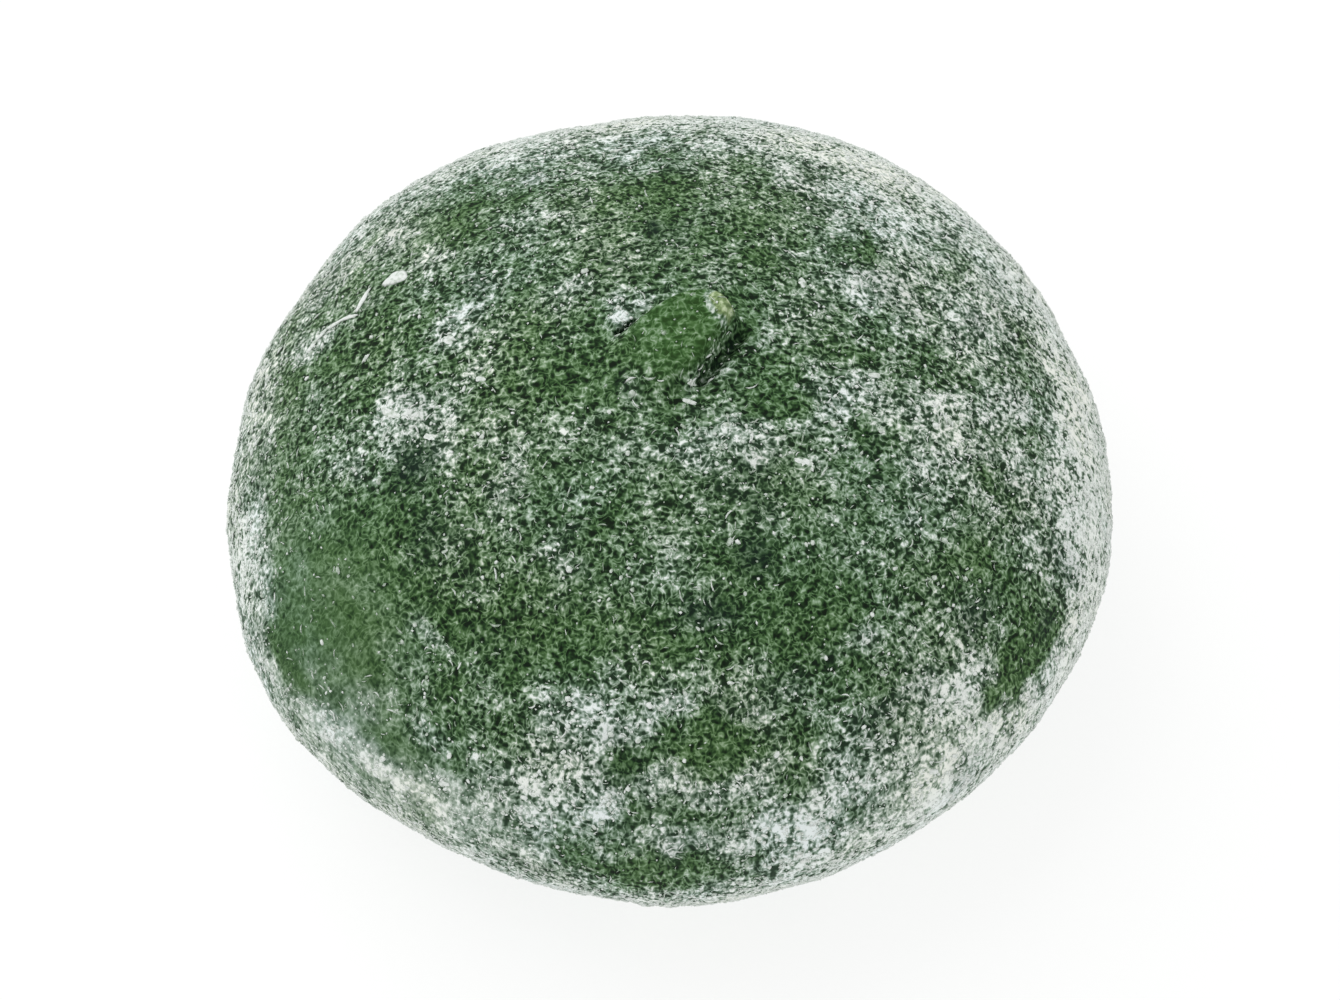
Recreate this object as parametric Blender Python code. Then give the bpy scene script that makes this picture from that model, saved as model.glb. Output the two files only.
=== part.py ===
"""Mochi rice cake: one hand-shaped round of mugwort dough with a pinched nub.

The dough is one solid. It starts as a sphere primitive, whose rings of points
are moved to the cake's own section: a full dome, a flank that rolls under to a
heel, and the flat face it rests on. Slow waves and finger presses round the
axis leave the outline as uneven as hand work does. On the crown stands the
nub, where the dough was pinched off: a lobe that rises out of the crown at its
root and ends blunt, with a crack along its left side and a hollow along its
right side.

Metres, +Z up, +X the longest extent. The origin is the middle of the resting
face.
"""

import math

import bmesh
import bpy
import numpy as np

# Driving dimensions of the round, in metres.
BELLY_RADIUS = 0.0320
CROWN_HEIGHT = 0.0348
BELLY_HEIGHT = 0.0133
# The resting face's radius as a share of the belly's.
HEEL_SHARE = 0.77
# Roundness of the section: 2 is an ellipse, more is fuller.
DOME_ROUNDNESS = 1.93
FLANK_ROUNDNESS = 1.80

# Waves round the axis: how many, their size as a share of the radius, and the
# azimuth of a crest in degrees.
OUTLINE_WAVES = (
    (2, 0.0182, 7.5),
    (4, 0.0045, 42.0),
    (5, 0.0086, -12.0),
)

# Presses and swells left by the fingers: azimuth and half width in degrees,
# and the change of radius as a share of it.
FINGER_MARKS = (
    (29.0, 7.0, 0.005),
    (45.0, 8.0, -0.008),
    (105.0, 8.0, -0.007),
    (149.0, 8.0, -0.012),
    (165.0, 7.0, 0.008),
    (194.0, 7.0, -0.007),
    (214.0, 9.0, 0.010),
)

# The nub, seen from above, from its root to its blunt tip, in metres.
NUB_ROOT = (-0.0046, -0.0040)
NUB_TIP = (0.0042, 0.0021)
NUB_HALF_WIDTH = 0.0030
NUB_RISE = 0.0024
# How far the top of the nub leans past its foot, towards its tip.
NUB_LEAN = 0.0007
# Its outline from above: 2 is an ellipse, more is squarer.
NUB_SQUARENESS = 2.6
# Where its side starts and ends, as shares of that outline.
NUB_TOP_EDGE = 0.66
NUB_FOOT_EDGE = 1.12
# Its rise at the root as a share, and the half lengths it takes to reach all.
NUB_ROOT_SHARE = 0.25
NUB_RAMP = 1.3
# The dried bead at the end of the tip.
BEAD_PLACE = (0.0040, 0.0026)
BEAD_RADIUS = 0.0011
BEAD_RISE = 0.0005

# Grooves beside the nub: two ends, half width and depth, in metres.
GROOVES = (
    ((-0.0045, 0.0002), (-0.0020, 0.0019), 0.0005, 0.0006),
    ((0.0052, 0.0006), (0.0041, -0.0021), 0.0006, 0.0006),
    ((0.0041, -0.0021), (0.0018, -0.0041), 0.0007, 0.0007),
)

# Points on the mesh: segments round the axis, and steps from pole to pole.
SEGMENTS = 96
CROWN_STEPS = 17
DOME_STEPS = 18
FLANK_STEPS = 8
FOOT_STEPS = 5
RINGS = CROWN_STEPS + DOME_STEPS + FLANK_STEPS + FOOT_STEPS

# The crown steps, close together, reach this far from the axis.
CROWN_REACH = 0.0075

DOUGH_COLOUR = (0.074, 0.141, 0.065, 1.0)
DOUGH_ROUGHNESS = 0.78


def clear_scene():
    """Remove every object that the file opened with."""
    for item in list(bpy.data.objects):
        bpy.data.objects.remove(item, do_unlink=True)


def smooth_step(low, high, value):
    """Ease from 0 at low to 1 at high."""
    share = np.clip((value - low) / (high - low), 0.0, 1.0)
    return share * share * (3.0 - 2.0 * share)


def section_points(step):
    """Radius and height on the section, for ring numbers counted from the top.

    The dome and the flank are superellipse arcs that meet at the belly. The
    flank is cut level by the resting face at the heel.
    """
    dome_end = CROWN_STEPS + DOME_STEPS
    flank_end = dome_end + FLANK_STEPS
    crown_angle = math.asin((CROWN_REACH / BELLY_RADIUS) ** (DOME_ROUNDNESS / 2.0))
    angle = np.where(
        step <= CROWN_STEPS,
        crown_angle * step / CROWN_STEPS,
        crown_angle + (math.pi / 2.0 - crown_angle) * (step - CROWN_STEPS) / DOME_STEPS,
    )
    angle = np.clip(angle, 0.0, math.pi / 2.0)
    dome_radius = BELLY_RADIUS * np.sin(angle) ** (2.0 / DOME_ROUNDNESS)
    dome_rise = (CROWN_HEIGHT - BELLY_HEIGHT) * np.cos(angle) ** (2.0 / DOME_ROUNDNESS)

    # The flank's full depth, if the resting face didn't cut it.
    flank_share = (1.0 - HEEL_SHARE ** FLANK_ROUNDNESS) ** (1.0 / FLANK_ROUNDNESS)
    heel_angle = math.acos(flank_share ** (FLANK_ROUNDNESS / 2.0))
    turn = np.clip((step - dome_end) / FLANK_STEPS, 0.0, 1.0)
    under = math.pi / 2.0 + (heel_angle - math.pi / 2.0) * turn
    flank_radius = BELLY_RADIUS * np.sin(under) ** (2.0 / FLANK_ROUNDNESS)
    flank_drop = BELLY_HEIGHT / flank_share * np.cos(under) ** (2.0 / FLANK_ROUNDNESS)

    foot_radius = BELLY_RADIUS * HEEL_SHARE * (RINGS - step) / FOOT_STEPS
    radius = np.where(step <= dome_end, dome_radius, flank_radius)
    height = np.where(step <= dome_end, BELLY_HEIGHT + dome_rise, BELLY_HEIGHT - flank_drop)
    radius = np.where(step <= flank_end, radius, foot_radius)
    height = np.where(step >= flank_end, 0.0, height)
    return radius, height


def outline_scale(azimuth):
    """Share by which the outline stands out or in at an azimuth in radians."""
    scale = np.ones_like(azimuth)
    for count, size, crest in OUTLINE_WAVES:
        scale += size * np.cos(count * (azimuth - math.radians(crest)))
    for middle, half_width, size in FINGER_MARKS:
        turn = np.angle(np.exp(1j * (azimuth - math.radians(middle))))
        scale += size * np.exp(-((turn / math.radians(half_width)) ** 2))
    return scale


def nub_shape(x, y):
    """How much of the nub's rise stands at (x, y), from 0 to 1.

    Seen from above the nub is a superellipse: 1 on its top, easing to 0 past
    its edge. Its rise fades out towards the root.
    """
    root = np.array(NUB_ROOT)
    way = np.array(NUB_TIP) - root
    half_length = math.hypot(*way) / 2.0
    along_x, along_y = way / (2.0 * half_length)
    along = (x - root[0]) * along_x + (y - root[1]) * along_y
    across = (y - root[1]) * along_x - (x - root[0]) * along_y
    lengthwise = np.abs(along / half_length - 1.0) ** NUB_SQUARENESS
    crosswise = np.abs(across / NUB_HALF_WIDTH) ** NUB_SQUARENESS
    reach = (lengthwise + crosswise) ** (1.0 / NUB_SQUARENESS)
    top = 1.0 - smooth_step(NUB_TOP_EDGE, NUB_FOOT_EDGE, reach)
    ramp = smooth_step(0.0, NUB_RAMP * half_length, along)
    return top * (NUB_ROOT_SHARE + (1.0 - NUB_ROOT_SHARE) * ramp)


def groove_depth(x, y):
    """Depth of the crack and the hollow beside the nub at (x, y)."""
    depth = np.zeros_like(x)
    for start, end, half_width, deepest in GROOVES:
        way = np.array(end) - np.array(start)
        share = ((x - start[0]) * way[0] + (y - start[1]) * way[1]) / way.dot(way)
        share = np.clip(share, 0.0, 1.0)
        gap = np.hypot(x - start[0] - share * way[0], y - start[1] - share * way[1])
        depth = np.maximum(depth, deepest * np.exp(-((gap / half_width) ** 2)))
    return depth


def shape_dough(directions):
    """Places on the cake for the points of a unit sphere."""
    azimuth = np.arctan2(directions[:, 1], directions[:, 0])
    step = np.rint(np.arccos(np.clip(directions[:, 2], -1.0, 1.0)) / math.pi * RINGS)
    radius, height = section_points(step)
    radius = radius * outline_scale(azimuth)
    x = radius * np.cos(azimuth)
    y = radius * np.sin(azimuth)

    on_crown = height > BELLY_HEIGHT
    nub = np.where(on_crown, nub_shape(x, y), 0.0)
    bead_gap = np.hypot(x - BEAD_PLACE[0], y - BEAD_PLACE[1])
    bead = np.where(on_crown, np.exp(-((bead_gap / BEAD_RADIUS) ** 2)), 0.0)
    groove = np.where(on_crown, groove_depth(x, y), 0.0)
    height = height + NUB_RISE * nub + BEAD_RISE * bead - groove * (1.0 - nub)

    way = np.array(NUB_TIP) - np.array(NUB_ROOT)
    way = way / math.hypot(*way)
    x = x + NUB_LEAN * nub * way[0]
    y = y + NUB_LEAN * nub * way[1]
    return np.stack((x, y, height), axis=1)


def make_material(name, colour, roughness):
    """One finish for the whole piece."""
    material = bpy.data.materials.new(name)
    material.use_nodes = True
    shader = material.node_tree.nodes["Principled BSDF"]
    shader.inputs["Base Color"].default_value = colour
    shader.inputs["Roughness"].default_value = roughness
    shader.inputs["Metallic"].default_value = 0.0
    return material


def make_mochi(collection):
    """The round of dough, from a sphere primitive moved to the cake's shape."""
    shape = bmesh.new()
    bmesh.ops.create_uvsphere(shape, u_segments=SEGMENTS, v_segments=RINGS, radius=1.0)
    directions = np.array([point.co for point in shape.verts], dtype=float)
    places = shape_dough(directions)
    middle = (places.min(axis=0) + places.max(axis=0)) / 2.0
    places[:, :2] -= middle[:2]
    for point, place in zip(shape.verts, places):
        point.co = place
    bmesh.ops.recalc_face_normals(shape, faces=shape.faces)

    mesh = bpy.data.meshes.new("mochi")
    shape.to_mesh(mesh)
    shape.free()
    mesh.shade_smooth()
    mesh.set_sharp_from_angle(angle=math.radians(40.0))
    mesh.materials.append(make_material("mugwort_dough", DOUGH_COLOUR, DOUGH_ROUGHNESS))
    mochi = bpy.data.objects.new("mochi", mesh)
    collection.objects.link(mochi)
    return mochi


def main():
    """Build the cake in a collection of its own."""
    clear_scene()
    collection = bpy.data.collections.new("mochi_rice_cake")
    bpy.context.scene.collection.children.link(collection)
    make_mochi(collection)


main()
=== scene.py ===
"""Looks of a mochi rice cake: a hand-rounded ball of mugwort dough under starch.

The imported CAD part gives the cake's box, and every size here is a share of it or
a real size in millimetres. The dough is one closed skin on the CAD form, with
the fine relief of pounded rice. Over it lies potato starch: a coat that the
skin's material draws where the starch map says, and loose grains, curls, crumbs
and flakes that are meshes of their own.
"""

import itertools
import logging
import math
from dataclasses import dataclass, field
from enum import Enum

import bpy
import numpy as np
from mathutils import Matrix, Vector


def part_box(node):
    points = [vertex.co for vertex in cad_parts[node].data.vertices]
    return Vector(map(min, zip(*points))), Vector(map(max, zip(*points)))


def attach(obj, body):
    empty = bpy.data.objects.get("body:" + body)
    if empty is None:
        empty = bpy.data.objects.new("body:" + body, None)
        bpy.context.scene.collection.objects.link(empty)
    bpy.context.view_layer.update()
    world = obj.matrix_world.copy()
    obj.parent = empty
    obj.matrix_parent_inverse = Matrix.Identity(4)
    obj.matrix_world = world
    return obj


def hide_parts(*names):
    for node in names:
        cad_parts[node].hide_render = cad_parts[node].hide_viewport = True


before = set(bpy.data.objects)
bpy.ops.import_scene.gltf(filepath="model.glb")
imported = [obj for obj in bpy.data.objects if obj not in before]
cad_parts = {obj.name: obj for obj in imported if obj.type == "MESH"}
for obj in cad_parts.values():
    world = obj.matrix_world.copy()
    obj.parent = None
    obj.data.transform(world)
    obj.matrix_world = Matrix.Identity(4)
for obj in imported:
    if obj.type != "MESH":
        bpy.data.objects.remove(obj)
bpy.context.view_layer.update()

MM = 0.001
BODY = "root"
# The nub's points all lie above this height, and its outline is read only there.
CROWN_FLOOR = 20.0 * MM

MATH = "ShaderNodeMath"
NOISE = "ShaderNodeTexNoise"
MIX = "ShaderNodeMix"
RAMP = "ShaderNodeValToRGB"
RANGE = "ShaderNodeMapRange"
COMBINE = "ShaderNodeCombineXYZ"
ATTRIBUTE = "ShaderNodeAttribute"
COORDINATES = "ShaderNodeTexCoord"

log = logging.getLogger("mochi")


# Shared mathematics


def ease(low: float, high: float, value: np.ndarray) -> np.ndarray:
    """Rise smoothly from 0 at low to 1 at high: 3s^2 - 2s^3 of the share s of the way.

    Args:
        low: Where the rise starts.
        high: Where it ends.
        value: Where it is read.

    Returns:
        Values from 0 to 1.
    """
    share = np.clip((value - low) / (high - low), 0.0, 1.0)
    return share * share * (3.0 - 2.0 * share)


def bell(distance: np.ndarray, half_width: float) -> np.ndarray:
    """Bell curve: e to the power of minus the squared distance over the half width."""
    return np.exp(-((distance / half_width) ** 2))


def lattice_noise(places: np.ndarray, cell: float, seed: int) -> np.ndarray:
    """Smooth noise from -1 to 1: hashed values at a cubic lattice's corners, eased between.

    Args:
        places: Points, with their coordinates along the last axis.
        cell: The lattice's pitch in metres.
        seed: Which noise of the many.

    Returns:
        One value for each point.
    """
    scaled = places / cell + 37.0 * (seed + 1)
    corner_low = np.floor(scaled).astype(np.int64)
    share = scaled - corner_low
    share = share * share * share * (share * (share * 6.0 - 15.0) + 10.0)
    total = np.zeros(places.shape[:-1])
    for corner in itertools.product((0, 1), repeat=3):
        key = corner_low + np.array(corner)
        mixed = key[..., 0] * 73856093 ^ key[..., 1] * 19349663 ^ key[..., 2] * 83492791
        mixed = (mixed ^ (seed * 2654435761)) & 0x7FFFFFFF
        mixed = ((mixed ^ (mixed >> 13)) * 1274126177) & 0x7FFFFFFF
        mixed = ((mixed ^ (mixed >> 16)) * 668265263) & 0x7FFFFFFF
        value = ((mixed >> 8) & 0xFFFF) / 32767.5 - 1.0
        weight = np.prod(np.where(np.array(corner) == 1, share, 1.0 - share), axis=-1)
        total += weight * value
    return total


def layered_noise(places: np.ndarray, cell: float, layers: int, seed: int) -> np.ndarray:
    """Sum of noises, each half the size and 0.55 of the strength of the one before.

    Args:
        places: Points, with their coordinates along the last axis.
        cell: The first noise's pitch in metres.
        layers: How many noises.
        seed: Which noise comes first.

    Returns:
        One value for each point.
    """
    total = np.zeros(places.shape[:-1])
    for layer in range(layers):
        total += 0.55 ** layer * lattice_noise(places, cell / 2.0 ** layer, seed + 11 * layer)
    return total


def unit(vectors: np.ndarray) -> np.ndarray:
    """Vectors divided by their lengths."""
    return vectors / np.maximum(np.linalg.norm(vectors, axis=-1, keepdims=True), 1e-12)


def on_crown(places: np.ndarray) -> np.ndarray:
    """1 for points that lie above the crown's floor, and 0 for those below."""
    return (places[..., 2] > CROWN_FLOOR).astype(float)


# Shared making of meshes and materials


def make_piece(name: str, places: np.ndarray, faces: list) -> bpy.types.Object:
    """A smooth-shaded mesh object at the origin, with its place in its mesh.

    Args:
        name: The piece's name.
        places: Its points, in metres.
        faces: Lists of point numbers, counter-clockwise seen from outside.

    Returns:
        The new object, in the scene.
    """
    mesh = bpy.data.meshes.new(name)
    mesh.from_pydata(places.tolist(), [], faces)
    mesh.update()
    mesh.shade_smooth()
    piece = bpy.data.objects.new(name, mesh)
    bpy.context.scene.collection.objects.link(piece)
    return piece


def write_attribute(piece: bpy.types.Object, name: str, values: np.ndarray) -> None:
    """Store one number for each point of a piece, for its material to read."""
    attribute = piece.data.attributes.new(name, "FLOAT", "POINT")
    attribute.data.foreach_set("value", values.astype(np.float32).ravel())


def linear(colour: str) -> tuple:
    """Turn an sRGB colour into linear light.

    Args:
        colour: The colour as a hex string.

    Returns:
        Red, green, blue and an alpha of 1.
    """
    shares = [int(colour[place:place + 2], 16) / 255.0 for place in (1, 3, 5)]
    bent = [s / 12.92 if s <= 0.04045 else ((s + 0.055) / 1.055) ** 2.4 for s in shares]
    return (*bent, 1.0)


def add_node(
    tree: bpy.types.NodeTree, kind: str, inputs: dict | None = None, **settings: object
) -> bpy.types.NodeOutputs:
    """Add a node to a tree, with its settings and links.

    Args:
        tree: The node tree.
        kind: The node's type name.
        inputs: By socket name or number, a value, or the socket to link from.
        **settings: The node's own properties.

    Returns:
        The new node's outputs.
    """
    node = tree.nodes.new(kind)
    for name, value in settings.items():
        setattr(node, name, value)
    for name, value in (inputs or {}).items():
        if isinstance(value, bpy.types.NodeSocket):
            tree.links.new(value, node.inputs[name])
        else:
            node.inputs[name].default_value = value
    return node.outputs


def new_material(name: str) -> tuple:
    """An empty node material with its Principled shader, wired to the output.

    Args:
        name: The real material's common name.

    Returns:
        The material, its node tree and the shader node.
    """
    material = bpy.data.materials.new(name)
    material.use_nodes = True
    tree = material.node_tree
    tree.nodes.clear()
    output = tree.nodes.new("ShaderNodeOutputMaterial")
    shader = tree.nodes.new("ShaderNodeBsdfPrincipled")
    tree.links.new(shader.outputs["BSDF"], output.inputs["Surface"])
    return material, tree, shader


def set_ramp(output: bpy.types.NodeSocket, stops: tuple) -> None:
    """Give a colour ramp its stops.

    Args:
        output: The ramp node's colour output.
        stops: For each stop a place from 0 to 1 and an sRGB hex colour.
    """
    ramp = output.node.color_ramp
    while len(ramp.elements) < len(stops):
        ramp.elements.new(0.5)
    for element, (place, colour) in zip(ramp.elements, stops):
        element.position = place
        element.color = linear(colour)


# The dough's form


@dataclass(frozen=True)
class PinchedNub:
    """Where the dough was pinched off: a lobe that rises from its root to a blunt tip.

    All places are seen from above, in metres from the cake's axis.
    """

    root: tuple = (-4.6 * MM, -4.0 * MM)
    tip: tuple = (4.2 * MM, 2.1 * MM)
    half_width: float = 3.0 * MM
    rise: float = 2.3 * MM
    lean: float = 0.7 * MM
    squareness: float = 2.6
    top_edge: float = 0.70
    foot_edge: float = 1.10
    root_share: float = 0.25
    ramp_share: float = 1.3
    bead: tuple = (3.05 * MM, 1.05 * MM)
    bead_radius: float = 1.2 * MM
    bead_rise: float = 0.60 * MM
    crack: tuple = ((-3.5 * MM, 0.45 * MM), (-2.9 * MM, 0.95 * MM), (-2.3 * MM, 1.3 * MM))
    crack_half_width: float = 0.20 * MM
    crack_depth: float = 1.4 * MM
    hollow: tuple = ((4.75 * MM, 0.6 * MM), (3.2 * MM, -1.6 * MM), (2.1 * MM, -3.0 * MM))
    hollow_half_width: float = 0.50 * MM
    hollow_depth: float = 0.9 * MM
    cut: tuple = ((4.7 * MM, 1.4 * MM), (1.2 * MM, -3.9 * MM))
    cut_softness: float = 2.2 * MM
    fringe: tuple = ((1.8 * MM, -3.3 * MM), (0.9 * MM, -4.1 * MM))
    edge: tuple = ((-1.4 * MM, 1.7 * MM), (0.9 * MM, 2.4 * MM), (2.4 * MM, 2.3 * MM))

    def way(self) -> np.ndarray:
        """Unit vector from the root to the tip."""
        return unit(np.array(self.tip) - np.array(self.root))

    def reach(self, x: np.ndarray, y: np.ndarray) -> np.ndarray:
        """Superellipse distance from the nub's middle: 1 on its outline, less inside.

        The shares along and across the nub are raised to the squareness and
        summed, and the sum's root of the same order is taken. Past the straight
        cut on the right side the distance goes with that to the cut instead.

        Args:
            x: Places across the cake.
            y: Places from front to back.

        Returns:
            The distance at each place.
        """
        way = self.way()
        across = (y - self.root[1]) * way[0] - (x - self.root[0]) * way[1]
        lengthwise = np.abs(self.along(x, y) - 1.0) ** self.squareness
        crosswise = np.abs(across / self.half_width) ** self.squareness
        oval = (lengthwise + crosswise) ** (1.0 / self.squareness)
        start, end = np.array(self.cut)
        side = unit(np.array((start[1] - end[1], end[0] - start[0])))
        past = (x - start[0]) * side[0] + (y - start[1]) * side[1]
        return np.maximum(oval, 1.0 + past / self.cut_softness)

    def along(self, x: np.ndarray, y: np.ndarray) -> np.ndarray:
        """Distance from the root along the nub, as a share of its half length.

        Args:
            x: Places across the cake.
            y: Places from front to back.

        Returns:
            The share at each place.
        """
        way = self.way()
        half_length = np.linalg.norm(np.array(self.tip) - np.array(self.root)) / 2.0
        return ((x - self.root[0]) * way[0] + (y - self.root[1]) * way[1]) / half_length

    def top(self, x: np.ndarray, y: np.ndarray) -> np.ndarray:
        """Share of the nub's rise: 1 on top, 0 past its foot, and less towards its root.

        Args:
            x: Places across the cake.
            y: Places from front to back.

        Returns:
            The share at each place.
        """
        plateau = 1.0 - ease(self.top_edge, self.foot_edge, self.reach(x, y))
        ramp = ease(0.0, self.ramp_share, self.along(x, y))
        return plateau * (self.root_share + (1.0 - self.root_share) * ramp)

    def bead_share(self, x: np.ndarray, y: np.ndarray) -> np.ndarray:
        """Share of the dried bead at the tip, 1 at its middle."""
        return bell(self.bead_gap(x, y), 0.85)

    def bead_gap(self, x: np.ndarray, y: np.ndarray) -> np.ndarray:
        """Distance to the bead's middle, as a share of that to its uneven outline.

        The bead is a little longer across the nub than along it, and its radius
        has a wave of three and one of five crests round it.

        Args:
            x: Places across the cake.
            y: Places from front to back.

        Returns:
            The share at each place.
        """
        way = self.way()
        along = ((x - self.bead[0]) * way[0] + (y - self.bead[1]) * way[1]) / 0.95
        across = ((y - self.bead[1]) * way[0] - (x - self.bead[0]) * way[1]) / 1.06
        turn = np.arctan2(across, along)
        uneven = 1.0 + 0.07 * np.cos(3.0 * turn + 0.6) + 0.05 * np.cos(5.0 * turn)
        return np.hypot(across, along) / (self.bead_radius * uneven)

    def groove(self, x: np.ndarray, y: np.ndarray, line: tuple, half_width: float) -> np.ndarray:
        """Bell curve of the distance to a line.

        Args:
            x: Places across the cake.
            y: Places from front to back.
            line: Two or more points that the line joins.
            half_width: The bell's half width.

        Returns:
            Values from 0, far off, to 1 on the line.
        """
        share = np.zeros_like(x)
        for start, end in zip(line[:-1], line[1:]):
            way = np.array(end) - np.array(start)
            along = ((x - start[0]) * way[0] + (y - start[1]) * way[1]) / way.dot(way)
            along = np.clip(along, 0.0, 1.0)
            gap = np.hypot(x - start[0] - along * way[0], y - start[1] - along * way[1])
            share = np.maximum(share, bell(gap, half_width))
        return share

    def raise_points(self, places: np.ndarray) -> np.ndarray:
        """Lift the crown's points into the nub, and sink its crack and hollow.

        Args:
            places: Points of the round.

        Returns:
            The same points with the nub raised from them.
        """
        x, y = places[..., 0], places[..., 1]
        crown = on_crown(places)
        top = self.top(x, y) * crown
        bead = self.bead_share(x, y) * crown
        crack = self.groove(x, y, self.crack, self.crack_half_width) * crown
        hollow = self.groove(x, y, self.hollow, self.hollow_half_width) * crown
        lifted = places.copy()
        lifted[..., 2] += self.rise * top + self.bead_rise * bead
        lifted[..., 2] -= self.crack_depth * crack * (1.0 - 0.5 * top)
        lifted[..., 2] -= self.hollow_depth * hollow * (1.0 - top)
        way = self.way()
        lifted[..., 0] += self.lean * top * way[0]
        lifted[..., 1] += self.lean * top * way[1]
        return lifted


@dataclass
class DoughForm:
    """The round of dough: a section turned about the axis, with waves and finger marks.

    The section runs by its arc length from the crown's middle, over the dome and
    the belly, down the flank to the heel and along the resting face to its middle.
    """

    width: float
    middle: tuple
    belly_share: float = 0.4934
    crown_share: float = 1.0875
    belly_height_share: float = 0.4156
    heel_share: float = 0.77
    dome_roundness: float = 1.93
    flank_roundness: float = 1.80
    heel_softness: float = 0.7 * MM
    waves: tuple = ((2, 0.0182, 7.5), (4, 0.0045, 42.0), (5, 0.0086, -12.0))
    finger_marks: tuple = (
        (29.0, 7.0, 0.005),
        (45.0, 8.0, -0.008),
        (105.0, 8.0, -0.007),
        (149.0, 8.0, -0.012),
        (165.0, 7.0, 0.008),
        (194.0, 7.0, -0.007),
        (214.0, 9.0, 0.010),
    )
    nub: PinchedNub = field(default_factory=PinchedNub)

    def __post_init__(self) -> None:
        """Work out the section and where the outline's middle lies."""
        self.belly = self.width * self.belly_share
        self.arc, self.radius, self.height = self.section()
        round_way = np.linspace(-math.pi, math.pi, 721)
        rim = self.belly * self.outline_scale(round_way)
        x, y = rim * np.cos(round_way), rim * np.sin(round_way)
        self.offset = (
            self.middle[0] - (x.min() + x.max()) / 2.0,
            self.middle[1] - (y.min() + y.max()) / 2.0,
        )

    def section(self) -> tuple:
        """The section as tables of arc length, radius and height.

        Dome and flank are superellipse arcs that meet at the belly: the radius
        goes with the sine and the height with the cosine of an angle, each to the
        power of two over the roundness. The heel's corner is then rounded by a
        running average whose weights are a bell curve.

        Returns:
            The three tables, at even steps of arc length.
        """
        crown = self.belly * self.crown_share
        belly_height = self.belly * self.belly_height_share
        angle = np.linspace(0.0, math.pi / 2.0, 1200)
        dome_radius = self.belly * np.sin(angle) ** (2.0 / self.dome_roundness)
        dome_height = belly_height + (crown - belly_height) * np.cos(angle) ** (2.0 / self.dome_roundness)
        roundness = self.flank_roundness
        cut = (1.0 - self.heel_share ** roundness) ** (1.0 / roundness)
        angle = np.linspace(math.pi / 2.0, math.acos(cut ** (roundness / 2.0)), 600)
        flank_radius = self.belly * np.sin(angle) ** (2.0 / roundness)
        flank_height = belly_height * (1.0 - np.cos(angle) ** (2.0 / roundness) / cut)
        foot_radius = np.linspace(self.belly * self.heel_share, 0.0, 400)
        radius = np.concatenate((dome_radius, flank_radius[1:], foot_radius[1:]))
        height = np.concatenate((dome_height, flank_height[1:], np.zeros(399)))

        steps = np.hypot(np.diff(radius), np.diff(height))
        arc = np.concatenate(([0.0], np.cumsum(steps)))
        pitch = 0.05 * MM
        even_arc = np.arange(0.0, arc[-1], pitch)
        radius = np.interp(even_arc, arc, radius)
        height = np.interp(even_arc, arc, height)
        reach = int(3.0 * self.heel_softness / pitch)
        weights = bell(np.arange(-reach, reach + 1) * pitch, self.heel_softness)
        weights /= weights.sum()
        radius = np.concatenate((-radius[reach:0:-1], radius, -radius[-2:-reach - 2:-1]))
        height = np.concatenate((height[reach:0:-1], height, height[-2:-reach - 2:-1]))
        radius = np.convolve(radius, weights, "valid")
        height = np.convolve(height, weights, "valid")
        radius[0] = radius[-1] = 0.0
        return even_arc, radius, height

    def outline_scale(self, azimuth: np.ndarray) -> np.ndarray:
        """Share by which the outline stands out: waves round the axis plus finger marks.

        Args:
            azimuth: Angles about the axis, in radians.

        Returns:
            The section's radius at each angle, as a share of the round one's.
        """
        scale = np.ones_like(azimuth)
        for count, size, crest in self.waves:
            scale += size * np.cos(count * (azimuth - math.radians(crest)))
        for middle, half_width, size in self.finger_marks:
            turn = np.angle(np.exp(1j * (azimuth - math.radians(middle))))
            scale += size * bell(turn, math.radians(half_width))
        return scale

    def smooth_place(self, azimuth: np.ndarray, arc: np.ndarray) -> np.ndarray:
        """Points of the round without its nub.

        Args:
            azimuth: Angles about the axis, in radians.
            arc: Lengths along the section from the crown's middle.

        Returns:
            The points, with their coordinates along a new last axis.
        """
        radius = np.interp(arc, self.arc, self.radius) * self.outline_scale(azimuth)
        height = np.interp(arc, self.arc, self.height)
        x = radius * np.cos(azimuth) + self.offset[0]
        y = radius * np.sin(azimuth) + self.offset[1]
        return np.stack((x, y, height), axis=-1)

    def directions(self, azimuth: np.ndarray, arc: np.ndarray) -> tuple:
        """Directions on the round, from places a small step to each side.

        Args:
            azimuth: Angles about the axis, in radians.
            arc: Lengths along the section from the crown's middle.

        Returns:
            Unit vectors round the axis, down the section, and out of the surface.
        """
        arc = np.clip(arc, 0.1 * MM, self.arc[-1] - 0.1 * MM)
        turn, step = 0.002, 0.05 * MM
        ahead = self.smooth_place(azimuth + turn, arc) - self.smooth_place(azimuth - turn, arc)
        down = self.smooth_place(azimuth, arc + step) - self.smooth_place(azimuth, arc - step)
        ahead, down = unit(ahead), unit(down)
        return ahead, down, unit(np.cross(down, ahead))

    def place(self, azimuth: np.ndarray, arc: np.ndarray, lift: np.ndarray) -> np.ndarray:
        """Points of the round with its nub, lifted off the surface by a distance."""
        out = self.directions(azimuth, arc)[2]
        return self.nub.raise_points(self.smooth_place(azimuth, arc) + out * lift[..., None])


# The coat of starch


class Touch(Enum):
    """What was done to the starch at a place, and whether that adds to it."""

    DUSTED = 1.0
    WIPED = -1.0


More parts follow.
